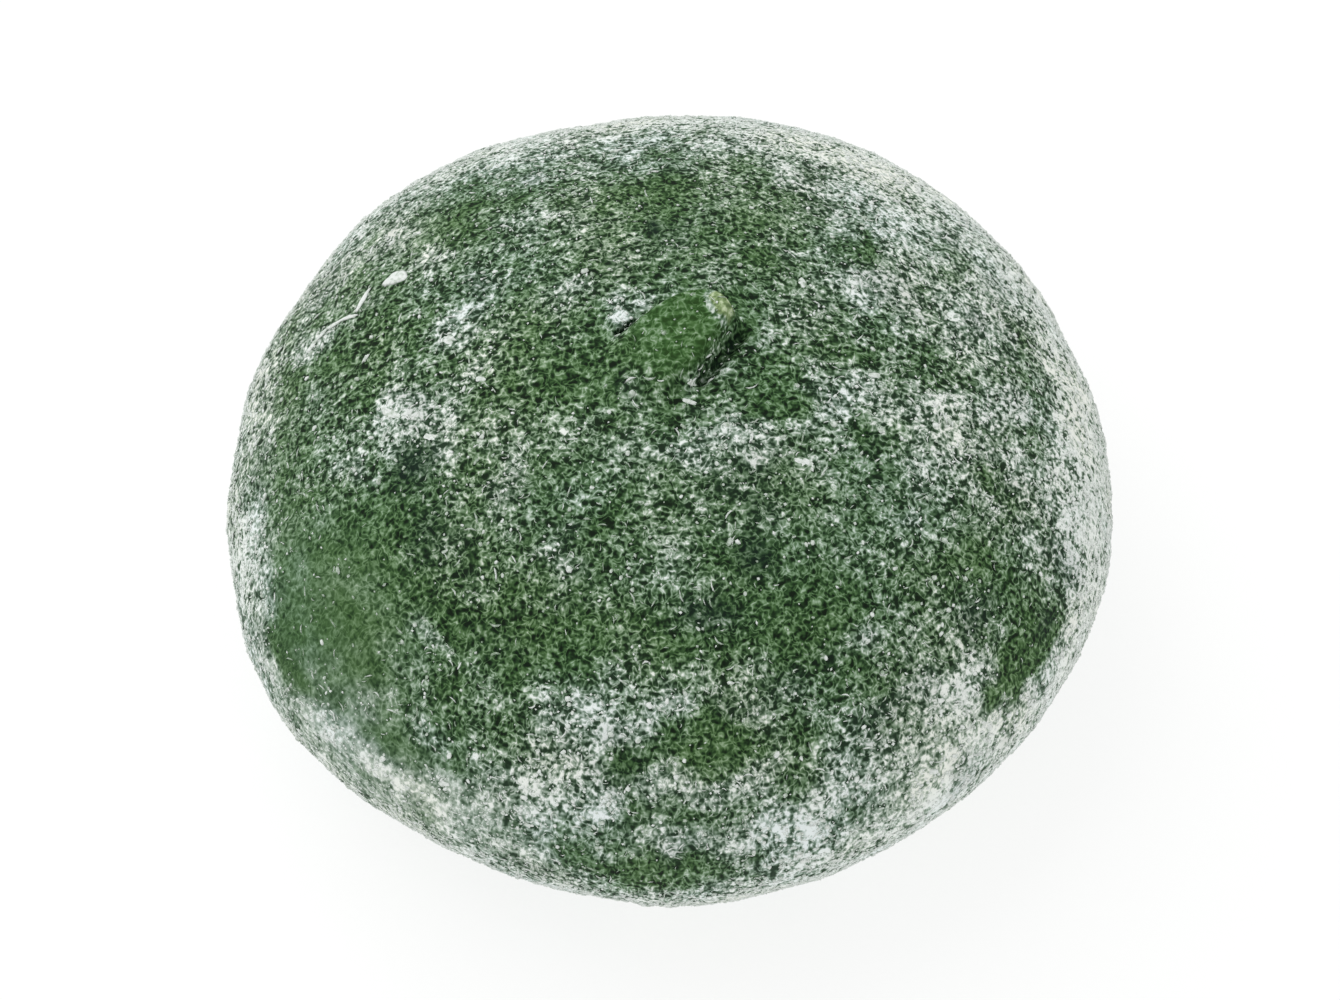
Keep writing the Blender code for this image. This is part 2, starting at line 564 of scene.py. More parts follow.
@dataclass(frozen=True)
class Patch:
    """A place on the cake: an oval with soft edges.

    azimuth and turn are in degrees, and the lengths in millimetres. arc is
    measured down from the crown's middle; a turn of 0 lays the oval round the
    axis and one of 90 lays it down the side.
    """

    azimuth: float
    arc: float
    half_length: float
    half_width: float
    turn: float
    strength: float

    def weight(self, form: DoughForm, places: np.ndarray) -> np.ndarray:
        """Strength at places: it falls as e to the minus third power of the oval distance.

        Args:
            form: The round of dough that the patch lies on.
            places: Points on it.

        Returns:
            One value for each point, from 0 to the patch's strength.
        """
        azimuth, arc = np.array(math.radians(self.azimuth)), np.array(self.arc * MM)
        gap = places - form.smooth_place(azimuth, arc)
        ahead, down, out = form.directions(azimuth, arc)
        cosine, sine = math.cos(math.radians(self.turn)), math.sin(math.radians(self.turn))
        long_way = gap @ (cosine * ahead + sine * down) / (self.half_length * MM)
        short_way = gap @ (cosine * down - sine * ahead) / (self.half_width * MM)
        depth = gap @ out / (self.half_length * MM)
        reach = long_way ** 2 + short_way ** 2 + 0.5 * depth ** 2
        return self.strength * np.exp(-(reach ** 1.5))


@dataclass
class StarchCoat:
    """How thick the starch lies: a map from 0, bare dough, to 1, solid white.

    The cake lay on starch, which reached highest up its back right side. What
    was dusted on or wiped off since then is listed in rows that a Patch reads:
    azimuth, arc, half length, half width, turn and strength. So are the dark
    blotches of leaf, and the places where a finger pressed the coat smooth.
    """

    form: DoughForm
    crown_share: float = 0.13
    rim_share: float = 0.86
    rim_start: float = 22.5 * MM
    rim_lean: float = 10.0 * MM
    rim_span: float = 18.0 * MM
    rim_azimuth: float = 60.0
    rim_wave: float = 1.5 * MM
    rim_wave_cell: float = 7.0 * MM
    ragged: float = 1.1 * MM
    ragged_cell: float = 2.2 * MM
    # Strength, cell, layers and seed of the clumps, and the smears' own sizes.
    clumps: tuple = ((0.15, 3.0 * MM, 2, 21), (0.16, 1.2 * MM, 1, 31))
    smear: float = 0.06
    smear_cell: float = 1.1 * MM
    smear_draw: float = 0.3
    smear_start: float = 8.0 * MM
    smear_full: float = 22.0 * MM
    nub_cover: float = 0.035
    dusted: tuple = (
        # left and upper left
        (156.0, 15.0, 2.6, 1.6, -80.0, 0.20),
        (171.0, 15.2, 3.0, 1.4, -20.0, 0.36),
        (148.0, 25.8, 3.4, 1.8, 70.0, 0.28),
        (167.0, 27.2, 3.6, 1.1, 65.0, 0.42),
        (122.0, 19.8, 3.6, 1.2, 33.0, 0.26),
        (96.0, 24.5, 2.6, 1.2, 0.0, 0.16),
        (122.0, 26.0, 4.5, 3.5, 0.0, 0.10),
        (-165.0, 20.5, 2.6, 1.9, 0.0, 0.32),
        (-165.0, 11.5, 3.0, 2.0, 0.0, 0.14),
        (152.0, 20.5, 2.4, 1.6, 0.0, 0.20),
        (-172.0, 13.5, 2.4, 0.9, 80.0, 0.26),
        (-163.0, 17.8, 3.6, 1.6, -36.0, 0.46),
        (-142.0, 13.2, 2.2, 1.3, 0.0, 0.26),
        (-138.0, 8.4, 1.8, 1.5, 0.0, 0.14),
        (-166.0, 23.8, 1.8, 1.6, 0.0, 0.28),
        (146.0, 7.8, 1.9, 1.2, 0.0, 0.30),
        (-174.0, 6.8, 1.8, 1.1, 90.0, 0.24),
        (146.0, 5.0, 1.5, 1.3, 0.0, 0.40),
        (117.0, 3.7, 0.9, 0.8, 0.0, 0.36),
        (132.0, 14.5, 5.0, 2.6, 0.0, 0.11),
        (120.0, 14.0, 10.0, 8.0, 0.0, 0.06),
        (-170.0, 17.5, 4.5, 3.2, 0.0, 0.18),
        (-162.0, 35.5, 4.5, 2.6, 0.0, 0.46),
        # back and right
        (60.0, 19.5, 3.2, 1.6, 20.0, 0.36),
        (46.0, 11.5, 3.6, 1.1, -44.0, 0.30),
        (20.0, 15.2, 2.8, 1.8, 0.0, 0.28),
        (14.0, 20.0, 5.0, 2.2, 90.0, 0.20),
        (-15.0, 14.5, 5.0, 2.2, 75.0, 0.22),
        (-6.0, 22.0, 5.0, 1.1, 60.0, 0.36),
        (-5.0, 33.0, 6.5, 1.6, 0.0, 0.36),
        (-46.0, 9.8, 2.2, 1.3, 58.0, 0.10),
        (-56.0, 8.8, 3.8, 1.3, 52.0, 0.32),
        (-36.0, 21.2, 1.7, 0.8, 55.0, 0.26),
        (-57.0, 24.8, 2.3, 1.6, 0.0, 0.32),
        (-30.0, 34.2, 1.3, 1.2, 0.0, 0.34),
        (-17.0, 20.5, 4.5, 4.4, 0.0, 0.30),
        (-28.0, 12.6, 3.2, 2.0, 0.0, 0.30),
        (10.0, 10.5, 4.4, 3.2, 0.0, 0.13),
        (-7.0, 37.0, 6.5, 3.0, 0.0, 1.00),
        (20.0, 18.0, 6.0, 5.0, 0.0, 0.08),
        # the band in front of the nub
        (-118.0, 4.6, 2.8, 1.4, 0.0, 0.18),
        (-77.0, 9.8, 2.8, 1.6, 0.0, 0.28),
        (-135.0, 15.0, 3.4, 2.8, 0.0, 0.18),
        (-100.0, 8.0, 7.5, 2.0, 0.0, 0.12),
        (-120.0, 13.2, 1.3, 0.9, 0.0, 0.22),
        (-120.0, 18.0, 1.5, 1.0, 0.0, 0.24),
        # the arch low on the front, and the bands beside it
        (-95.0, 26.6, 8.0, 2.6, 0.0, 0.36),
        (-101.0, 29.2, 3.0, 2.2, 60.0, 0.26),
        (-88.0, 32.4, 4.2, 1.3, 0.0, 0.40),
        (-78.0, 31.2, 1.7, 1.4, 0.0, 0.32),
        (-65.0, 34.4, 5.6, 1.6, 0.0, 0.24),
        (-131.0, 26.5, 1.1, 0.8, 0.0, 0.40),
        (-126.0, 28.5, 3.2, 1.8, 0.0, 0.14),
        (-110.0, 35.0, 4.0, 2.0, 0.0, 0.36),
        (-122.0, 37.8, 5.0, 2.2, 0.0, 0.40),
        (-135.0, 37.8, 5.0, 2.0, 0.0, 0.36),
        (-152.0, 38.0, 6.0, 1.8, 0.0, 0.24),
        (-48.0, 37.5, 5.6, 2.2, 0.0, 0.30),
        (-29.0, 38.8, 4.0, 1.6, 0.0, 0.26),
        (-48.0, 29.6, 5.0, 4.0, 0.0, 0.16),
        (-45.0, 32.8, 3.4, 2.2, 0.0, 0.62),
        (-105.0, 32.4, 3.4, 2.4, 0.0, 0.62),
        (-74.0, 36.3, 3.6, 1.8, 0.0, 0.44),
        (-126.0, 32.7, 5.0, 1.8, 0.0, 0.24),
        (-90.0, 36.0, 3.4, 1.2, 0.0, 0.36),
    )
    wiped: tuple = (
        (6.0, 28.5, 5.4, 2.4, 0.0, 0.52),
        (-91.0, 40.6, 7.0, 3.2, 0.0, 0.62),
        (-33.0, 35.6, 4.0, 2.8, 0.0, 0.90),
        (-153.0, 6.4, 3.4, 3.6, 0.0, 0.34),
        (14.0, 5.0, 2.2, 1.8, 0.0, 0.17),
        (-22.0, 8.4, 2.8, 2.0, 0.0, 0.34),
        (-82.0, 5.0, 2.4, 1.4, 0.0, 0.12),
        (45.0, 12.5, 2.8, 1.7, 0.0, 0.14),
        (30.0, 23.5, 4.0, 3.5, 0.0, 0.10),
        (38.0, 31.0, 7.0, 4.0, 0.0, 0.12),
        (91.0, 24.0, 3.0, 2.0, 0.0, 0.18),
        (32.0, 26.5, 4.0, 3.0, 0.0, 0.18),
        (-122.0, 25.4, 7.0, 3.0, 0.0, 0.17),
        (-60.0, 23.0, 3.6, 3.6, 0.0, 0.16),
        (-150.0, 22.5, 4.0, 3.6, 0.0, 0.20),
        (-149.0, 36.3, 4.4, 1.9, 0.0, 0.38),
        (-107.0, 23.4, 2.8, 1.9, 20.0, 0.20),
        (-88.0, 22.4, 2.6, 1.8, -15.0, 0.15),
        (-84.0, 28.7, 3.2, 1.9, 0.0, 0.38),
        (-70.0, 21.5, 4.0, 3.4, 0.0, 0.14),
        (100.0, 12.5, 4.2, 3.0, 0.0, 0.16),
        (40.0, 9.0, 3.2, 2.4, 0.0, 0.14),
        (-31.0, 32.6, 9.0, 4.8, 0.0, 0.42),
        (-145.0, 30.0, 6.0, 4.0, 0.0, 0.12),
        (36.0, 18.0, 1.3, 1.0, 0.0, 0.36),
        (44.0, 26.0, 1.1, 0.8, 0.0, 0.55),
        (-18.0, 25.2, 2.0, 1.3, 60.0, 0.34),
        (-29.0, 16.0, 2.0, 1.2, 55.0, 0.08),
        (74.0, 22.0, 12.0, 6.0, 0.0, 0.21),
    )
    blotches: tuple = (
        (156.0, 15.0, 1.5, 0.9, -80.0, 0.6),
        (-69.0, 17.0, 1.7, 1.4, 60.0, 0.8),
        (-82.0, 20.0, 2.2, 1.2, 10.0, 0.8),
        (14.0, 23.5, 1.3, 1.0, 0.0, 0.7),
        (-36.0, 29.0, 1.8, 1.2, 0.0, 0.7),
        (-29.0, 34.6, 1.3, 1.1, 0.0, 0.8),
        (-155.0, 19.6, 2.2, 1.5, 60.0, 0.7),
        (-142.0, 21.0, 2.4, 1.6, 60.0, 0.5),
        (-120.0, 24.5, 3.0, 1.2, 0.0, 0.3),
        (96.0, 10.5, 1.0, 0.5, 90.0, 0.8),
    )
    pressed: tuple = (
        (-145.0, 30.0, 8.0, 6.0, 0.0, 0.90),
        (-130.0, 38.0, 14.0, 5.0, 0.0, 0.95),
        (-170.0, 32.0, 9.0, 4.0, 0.0, 0.35),
        (140.0, 27.0, 12.0, 8.0, 0.0, 0.30),
        (-52.0, 38.0, 12.0, 4.5, 0.0, 0.50),
        (-88.0, 34.0, 7.0, 6.0, 0.0, 0.25),
    )

    def ground(self, azimuth: np.ndarray, arc: np.ndarray) -> np.ndarray:
        """Cover without patches: a light dusting that thickens down the side.

        Where the thickening starts swings round the axis as a cosine does.

        Args:
            azimuth: Angles about the axis, in radians.
            arc: Lengths along the section from the crown's middle.

        Returns:
            The cover there.
        """
        swing = np.cos(azimuth - math.radians(self.rim_azimuth))
        start = self.rim_start - self.rim_lean * swing
        share = np.clip((arc - start) / self.rim_span, 0.0, 1.0)
        return self.crown_share + self.rim_share * share * share * (3.0 - 2.0 * share)

    def cover(self, places: np.ndarray, azimuth: np.ndarray, arc: np.ndarray) -> np.ndarray:
        """The starch map: the ground and the patches, broken up by noise.

        The places are first pushed about by noise, so that patches have ragged
        edges. Then clumps of two sizes and smears along the rim come and go
        with the cover.

        Args:
            places: Points on the round.
            azimuth: Their angles about the axis, in radians.
            arc: Their lengths along the section from the crown's middle.

        Returns:
            The cover at each point, from 0 to 1.
        """
        push = [layered_noise(places, self.ragged_cell, 3, seed) for seed in (3, 4, 5)]
        ragged = places + self.ragged * np.stack(push, axis=-1)
        cover = self.ground(azimuth, arc + self.rim_wave * layered_noise(places, self.rim_wave_cell, 2, 13))
        for touch, rows in ((Touch.DUSTED, self.dusted), (Touch.WIPED, self.wiped)):
            for row in rows:
                cover = cover + touch.value * Patch(*row).weight(self.form, ragged)
        clumps = sum(share * layered_noise(places, *noise) for share, *noise in self.clumps)
        x, y = places[..., 0] * self.smear_draw, places[..., 1] * self.smear_draw
        smears = layered_noise(np.stack((x, y, arc), axis=-1), self.smear_cell, 2, 41)
        clumps = clumps + self.smear * (smears * ease(self.smear_start, self.smear_full, arc))
        # Clumps stand out most where the cover is middling.
        cover = cover + clumps * np.clip(0.45 + 1.6 * cover * (1.3 - cover), 0.0, 1.0)
        # The nub is the last the hand let go of, and stayed almost bare.
        on_nub = self.form.nub.top(places[..., 0], places[..., 1]) * on_crown(places)
        cover = cover + (self.nub_cover - 0.9 * cover) * ease(0.15, 0.7, on_nub)
        return np.clip(cover, 0.0, 1.0)

    def sum_of(self, rows: tuple, places: np.ndarray) -> np.ndarray:
        """Sum of the patches of some rows at places, from 0 to 1."""
        return np.clip(sum(Patch(*row).weight(self.form, places) for row in rows), 0.0, 1.0)

    def leaf(self, places: np.ndarray) -> np.ndarray:
        """Where mugwort leaf shows dark through the dough, from 0 to 1."""
        scattered = 0.35 * ease(0.35, 0.95, layered_noise(places, 3.4 * MM, 2, 51))
        return np.clip(scattered + self.sum_of(self.blotches, places), 0.0, 1.0)


# Finishes


@dataclass(frozen=True)
class MugwortDough:
    """Steamed glutinous rice pounded with mugwort, hand-rolled and dusted.

    Soft, close-grained and matt: nearly black green in its pits, paler where
    fibres show, and greyer and whiter the thicker starch clings to it. The
    colour follows the relief, so the pits and wrinkle valleys are darker:
    partly the dough's own colour and partly painted shade. Each texture is a
    noise whose cell is the size of what it draws: the dough's fine grain, its
    curled wrinkles, soft clumps, rolled streaks, and the caked starch and the
    net that it forms. A share says how much a texture adds.
    """

    bare: tuple = (
        (0.00, "#0c1a0b"),
        (0.15, "#243f20"),
        (0.31, "#45643a"),
        (0.50, "#708d68"),
        (0.70, "#a0b59c"),
        (0.86, "#cbd6c9"),
        (1.00, "#eef3ed"),
    )
    dusted: tuple = (
        (0.00, "#101c13"),
        (0.15, "#293e2c"),
        (0.31, "#4c624e"),
        (0.50, "#778b7a"),
        (0.70, "#a7b5a9"),
        (0.86, "#ccd6ce"),
        (1.00, "#f0f4f1"),
    )
    # Dark green of mugwort leaf, laid also as painted shade in the nub's crack and hollow.
    leaf: str = "#12261f"
    warm: str = "#fffef8"
    cool: str = "#f9fdff"
    fresh: str = "#48782f"
    dried_tip: tuple = ((0.25, "#5b7047"), (0.55, "#879d6c"), (0.80, "#bfcda9"))
    roughness: float = 0.75
    specular: float = 0.12
    relief: float = 0.10 * MM
    relief_strength: float = 0.7

    grain_cell: float = 0.31 * MM
    grain_share: float = 5.9
    streak_share: float = 3.4
    streak_draw: float = 0.4
    flank_draw: float = 0.55
    wrinkle_cell: float = 0.56 * MM
    wrinkle_fall: float = -6.0
    wrinkle_level: float = -0.35
    line_width: float = 0.075
    line_height: float = 1.35
    roll_cell: float = 0.36 * MM
    roll_share: float = 6.5
    rolled_grain: float = -2.2
    clump_cell: float = 1.3 * MM
    clump_share: float = 1.8
    cake_cell: float = 0.82 * MM
    cake_share: float = 6.6
    cake_level: float = 0.98
    caked_wrinkles: float = -0.55
    net_cell: float = 1.0 * MM
    net_fall: float = -11.0
    drift_cell: float = 8.0 * MM
    drift_share: float = 3.0

    bare_gain: float = 0.155
    half_on_gain: float = 0.26
    dusted_gain: float = 0.15
    pressed_gain: float = -0.62
    solid_gain: float = -0.22
    bare_level: float = 0.335
    dusted_level: float = 0.550
    leaf_and_shade_level: float = -0.10
    solid_level: float = 0.32
    solid_start: float = 0.05
    solid_end: float = 0.16
    pit_level: float = 0.24
    pit_offset: float = -0.02
    pit_softness: float = 0.2
    veil_end: float = 0.45
    fresh_share: float = 0.24
    leaf_and_shade_share: float = 0.55
    dried_share: float = 1.6

    def textures(self, tree: bpy.types.NodeTree, arc: bpy.types.NodeSocket) -> dict:
        """The noises, each centred on zero.

        They read the place in three ways. For most, the height is drawn out, as
        the dough was down its flank when it was rolled. For streaks round the
        cake both level axes are drawn out and the third follows the section. Over
        the middle of the dome only the one across is.

        Args:
            tree: The material's node tree.
            arc: The length along the section from the crown's middle.

        Returns:
            The noises by name.
        """
        place = add_node(tree, COORDINATES)["Object"]
        x, y, z = add_node(tree, "ShaderNodeSeparateXYZ", {0: place})
        wide_x = add_node(tree, MATH, {0: x, 1: self.streak_draw}, operation="MULTIPLY")[0]
        wide_y = add_node(tree, MATH, {0: y, 1: self.streak_draw}, operation="MULTIPLY")[0]
        low_z = add_node(tree, MATH, {0: z, 1: self.flank_draw}, operation="MULTIPLY")[0]
        flank = add_node(tree, COMBINE, {0: x, 1: y, 2: low_z})[0]
        ringed = add_node(tree, COMBINE, {0: wide_x, 1: wide_y, 2: arc})[0]
        level = add_node(tree, COMBINE, {0: wide_x, 1: y, 2: z})[0]
        rows = (
            ("grain", flank, self.grain_cell, 0.8, 0.3),
            ("wrinkle", flank, self.wrinkle_cell, 1.0, 0.6),
            ("clump", flank, self.clump_cell, 2.0, 0.0),
            ("cake", flank, self.cake_cell, 2.0, 0.8),
            ("net", flank, self.net_cell, 1.0, 0.9),
            ("streak", ringed, self.grain_cell, 0.8, 0.0),
            ("roll", level, self.roll_cell, 0.8, 0.0),
            ("drift", place, self.drift_cell, 1.0, 0.0),
        )
        noises = {}
        for name, spot, cell, detail, distortion in rows:
            values = {"Vector": spot, "Scale": 1.0 / cell, "Detail": detail, "Roughness": 0.6}
            values["Distortion"] = distortion
            plain = add_node(tree, NOISE, values)["Fac"]
            noises[name] = add_node(tree, MATH, {0: plain, 1: 0.5}, operation="SUBTRACT")[0]
        return noises

    def stand(self, tree: bpy.types.NodeTree, marks: dict, noises: dict) -> bpy.types.NodeSocket:
        """How far the surface stands out of its level: a sum of textures.

        Wrinkles fall off from where their noise crosses zero, and a thin line
        stands on the crossing. Where starch lies thick, its caked net of white
        round dark pits covers them.

        Args:
            tree: The material's node tree.
            marks: The skin's attributes.
            noises: The textures.

        Returns:
            The sum, about zero on average.
        """
        ridge = add_node(tree, MATH, {0: noises["wrinkle"]}, operation="ABSOLUTE")[0]
        line = {"Value": ridge, "From Max": self.line_width, "To Min": self.line_height, "To Max": 0.0}
        lines = add_node(tree, RANGE, line)["Result"]
        net = add_node(tree, MATH, {0: noises["net"]}, operation="ABSOLUTE")[0]

        wrinkled = add_node(tree, MATH, {0: lines, 1: self.wrinkle_level}, operation="ADD")[0]
        wrinkled = add_node(
            tree, MATH, {0: ridge, 1: self.wrinkle_fall, 2: wrinkled}, operation="MULTIPLY_ADD"
        )[0]
        rolled = add_node(tree, MATH, {0: noises["roll"], 1: self.roll_share}, operation="MULTIPLY")[0]
        rolled = add_node(
            tree, MATH, {0: noises["grain"], 1: self.rolled_grain, 2: rolled}, operation="MULTIPLY_ADD"
        )[0]
        caked = self.cake_level
        for value, share in (
            (net, self.net_fall),
            (noises["cake"], self.cake_share),
            (wrinkled, self.caked_wrinkles),
        ):
            caked = add_node(tree, MATH, {0: value, 1: share, 2: caked}, operation="MULTIPLY_ADD")[0]

        stand = wrinkled
        for value, share in (
            (noises["grain"], self.grain_share),
            (noises["streak"], self.streak_share),
            (rolled, marks["across"]),
            (noises["clump"], self.clump_share),
            (caked, marks["starch"]),
        ):
            stand = add_node(tree, MATH, {0: value, 1: share, 2: stand}, operation="MULTIPLY_ADD")[0]
        return stand

    def tone(self, tree: bpy.types.NodeTree, marks: dict, noises: dict) -> bpy.types.NodeSocket:
        """How light the surface is: a level plus the textures times a gain.

        The level rises with the starch, and again in clumps where it is solid.
        The gain is highest where the coat is half on and lower where it is solid
        or pressed smooth. Under a thick coat even the pits are powdered.

        Args:
            tree: The material's node tree.
            marks: The skin's attributes.
            noises: The textures.

        Returns:
            The tone: 0 is black green and 1 is white.
        """
        starch = marks["starch"]
        clumped = {"Value": noises["clump"], "From Min": self.solid_start, "From Max": self.solid_end}
        solid = add_node(tree, RANGE, clumped)["Result"]
        solid = add_node(tree, MATH, {0: solid, 1: starch}, operation="MULTIPLY")[0]
        off = add_node(tree, MATH, {0: 1.0, 1: starch}, operation="SUBTRACT")[0]
        half_on = add_node(tree, MATH, {0: starch, 1: off}, operation="MULTIPLY")[0]
        # The leaf mark lowers the level for mugwort leaf and for the painted shade in the nub's crack and
        # hollow.
        sums = {
            "gain": (self.bare_gain, ((half_on, self.half_on_gain), (starch, self.dusted_gain))),
            "flat": (1.0, ((marks["pressed"], self.pressed_gain), (solid, self.solid_gain))),
            "level": (
                self.bare_level,
                ((starch, self.dusted_level), (marks["leaf"], self.leaf_and_shade_level), (solid, self.solid_level)),
            ),
            "pit": (self.pit_offset, ((starch, self.pit_level),)),
        }
        totals = {}
        for name, (total, terms) in sums.items():
            for value, share in terms:
                total = add_node(tree, MATH, {0: value, 1: share, 2: total}, operation="MULTIPLY_ADD")[0]
            totals[name] = total
        gain = add_node(tree, MATH, {0: totals["gain"], 1: totals["flat"]}, operation="MULTIPLY")[0]
        stand = self.stand(tree, marks, noises)
        # The tone is the bump's height as well as the colour's lightness, so low places are darker: the
        # dough's own dark green under the starch, and painted shade in the pits and wrinkle valleys.
        tone = add_node(tree, MATH, {0: stand, 1: gain, 2: totals["level"]}, operation="MULTIPLY_ADD")[0]
        powdered = {0: tone, 1: totals["pit"], 2: self.pit_softness}
        return add_node(tree, MATH, powdered, operation="SMOOTH_MAX")[0]

    def colour(
        self, tree: bpy.types.NodeTree, marks: dict, noises: dict, tone: bpy.types.NodeSocket
    ) -> bpy.types.NodeSocket:
        """The colour of a tone: bare or dusted dough, and over it what differs from place to place.

        Broad drifts of hue go towards olive and towards blue green. The nub is
        fresher green, blotches of leaf are dark, the nub's crack and hollow get
        painted shade in the same dark green, and the tip has dried.

        Args:
            tree: The material's node tree.
            marks: The skin's attributes.
            noises: The textures.
            tone: How light the surface is.

        Returns:
            The colour.
        """
        bare = add_node(tree, RAMP, {"Fac": tone})["Color"]
        set_ramp(bare, self.bare)
        dusted = add_node(tree, RAMP, {"Fac": tone})["Color"]
        set_ramp(dusted, self.dusted)
        veil = add_node(tree, RANGE, {"Value": marks["starch"], "From Max": self.veil_end})["Result"]
        dry = {0: noises["grain"], 1: self.dried_share, 2: 0.5}
        dry = add_node(tree, MATH, dry, operation="MULTIPLY_ADD")[0]
        dried = add_node(tree, RAMP, {"Fac": dry})["Color"]
        set_ramp(dried, self.dried_tip)
        drift = {0: noises["drift"], 1: self.drift_share, 2: 0.5}
        drift = add_node(tree, MATH, drift, operation="MULTIPLY_ADD")[0]
        hues = {"Factor": drift, 6: linear(self.cool), 7: linear(self.warm)}
        tint = add_node(tree, MIX, hues, data_type="RGBA")[2]
        nub = add_node(tree, MATH, {0: marks["nub"], 1: self.fresh_share}, operation="MULTIPLY")[0]
        # The leaf mix lays the dark green of leaf blotches and the painted shade of the nub's crack and
        # hollow.
        leaf = add_node(tree, MATH, {0: marks["leaf"], 1: self.leaf_and_shade_share}, operation="MULTIPLY")[0]
        colour = bare
        for factor, over, way in (
            (veil, dusted, "MIX"),
            (1.0, tint, "MULTIPLY"),
            (nub, linear(self.fresh), "MIX"),
            (leaf, linear(self.leaf), "MIX"),
            (marks["tip"], dried, "MIX"),
        ):
            layer = {"Factor": factor, 6: colour, 7: over}
            colour = add_node(tree, MIX, layer, data_type="RGBA", blend_type=way)[2]
        return colour

    def make(self) -> bpy.types.Material:
        """Build the material, which reads the attributes that the skin's marks give.

        Returns:
            The new material.
        """
        material, tree, shader = new_material("mugwort_rice_dough")
        # The leaf attribute holds mugwort leaf and painted shade in the nub's crack and hollow.
        marks = {
            name: add_node(tree, ATTRIBUTE, attribute_name=name)["Fac"]
            for name in ("starch", "leaf", "tip", "pressed", "arc", "nub", "across")
        }
        noises = self.textures(tree, marks["arc"])
        tone = self.tone(tree, marks, noises)
        colour = self.colour(tree, marks, noises, tone)
        relief = {"Height": tone, "Strength": self.relief_strength, "Distance": self.relief}
        bump = add_node(tree, "ShaderNodeBump", relief)["Normal"]
        tree.links.new(colour, shader.inputs["Base Color"])
        tree.links.new(bump, shader.inputs["Normal"])
        shader.inputs["Roughness"].default_value = self.roughness
        shader.inputs["Specular IOR Level"].default_value = self.specular
        return material


@dataclass(frozen=True)
class PotatoStarch:
    """Potato starch: a fine dry powder that cakes into soft matt lumps.

    Fresh it is a cool white; where it has drawn moisture from the dough it
    turns greyer and greener, which each grain's damp attribute says.
    """

    dry: str = "#e4e9e5"
    damp: str = "#8fa38c"
    roughness: float = 0.95
    specular: float = 0.1
    lump: float = 0.3 * MM
    relief: float = 0.06 * MM
    relief_strength: float = 0.5

    def make(self) -> bpy.types.Material:
        """Build the material, which reads the grains' damp attribute.

        Returns:
            The new material.
        """
        material, tree, shader = new_material("potato_starch_powder")
        spot = add_node(tree, COORDINATES)["Object"]
        damp = add_node(tree, ATTRIBUTE, attribute_name="damp")["Fac"]
        lumps = add_node(tree, NOISE, {"Vector": spot, "Scale": 1.0 / self.lump, "Detail": 2.0})["Fac"]
        # The lumps' hollows are greyer and greener than their tops.
        hollows = add_node(tree, MATH, {0: lumps, 1: -2.2, 2: 1.1}, operation="MULTIPLY_ADD")[0]
        damp_and_hollows = add_node(tree, MATH, {0: damp, 1: hollows}, operation="ADD")[0]
        shades = {"Factor": damp_and_hollows, 6: linear(self.dry), 7: linear(self.damp)}
        colour = add_node(tree, MIX, shades, data_type="RGBA")[2]
        relief = {"Height": lumps, "Strength": self.relief_strength, "Distance": self.relief}
        bump = add_node(tree, "ShaderNodeBump", relief)["Normal"]
        tree.links.new(colour, shader.inputs["Base Color"])
        tree.links.new(bump, shader.inputs["Normal"])
        shader.inputs["Roughness"].default_value = self.roughness
        shader.inputs["Specular IOR Level"].default_value = self.specular
        return material


@dataclass(frozen=True)
class LightTable:
    """Opal white acrylic, matt and even, lit faintly from below."""

    colour: str = "#8f908f"
    roughness: float = 0.9
    specular: float = 0.1
    glow: float = 0.74

    def make(self) -> bpy.types.Material:
        """Build the material.

        Returns:
            The new material.
        """
        material, _, shader = new_material("opal_white_acrylic")
        shader.inputs["Base Color"].default_value = linear(self.colour)
        shader.inputs["Roughness"].default_value = self.roughness
        shader.inputs["Specular IOR Level"].default_value = self.specular
        shader.inputs["Emission Color"].default_value = (1.0, 1.0, 1.0, 1.0)
        shader.inputs["Emission Strength"].default_value = self.glow
        return material


# Pieces


